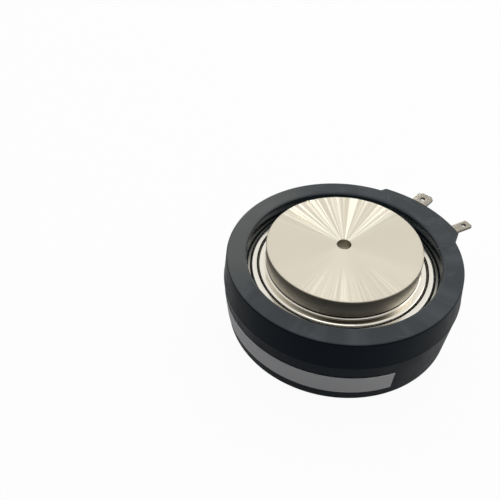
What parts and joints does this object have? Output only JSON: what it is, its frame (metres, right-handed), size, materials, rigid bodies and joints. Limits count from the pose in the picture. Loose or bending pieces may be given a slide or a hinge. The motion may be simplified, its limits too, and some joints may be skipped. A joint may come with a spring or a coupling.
{
  "type": "disc thyristor",
  "caption": "Press-pack disc thyristor: turned plated copper contacts in a dark plastic housing ring with push-on tabs for gate and auxiliary cathode",
  "frame": {"origin": "centre of the lower contact face, on the disc's axis", "axes": "+Z runs along the disc's axis from the lower contact to the upper contact; +Y points away from the viewer of the picture; the terminal nose points between +X and +Y"},
  "size_m": [0.0688, 0.0622, 0.026],
  "materials": {
    "housing": "satin",
    "nickel": "turned",
    "steel": "satin",
    "molybdenum": "lapped",
    "silicon": "polished",
    "silicone": "matte",
    "insulator": "matte",
    "tinned": "tinned",
    "label": "matte"
  },
  "bodies": {
    "root": {"housing_ring": "housing", "upper_pole": "nickel", "lower_pole": "nickel", "upper_diaphragm": "nickel", "lower_diaphragm": "nickel", "upper_weld_ring": "steel", "lower_weld_ring": "steel", "anode_disc": "molybdenum", "silicon_wafer": "silicon", "cathode_disc": "molybdenum", "wafer_edge_seal": "silicone", "locating_ring": "insulator", "gate_bush": "insulator", "gate_pin": "steel", "gate_spring": "steel", "gate_lead": "tinned", "gate_sleeve": "insulator", "gate_tab": "tinned", "cathode_lead": "tinned", "cathode_tab": "tinned", "type_label": "label"}
  },
  "joints": []
}
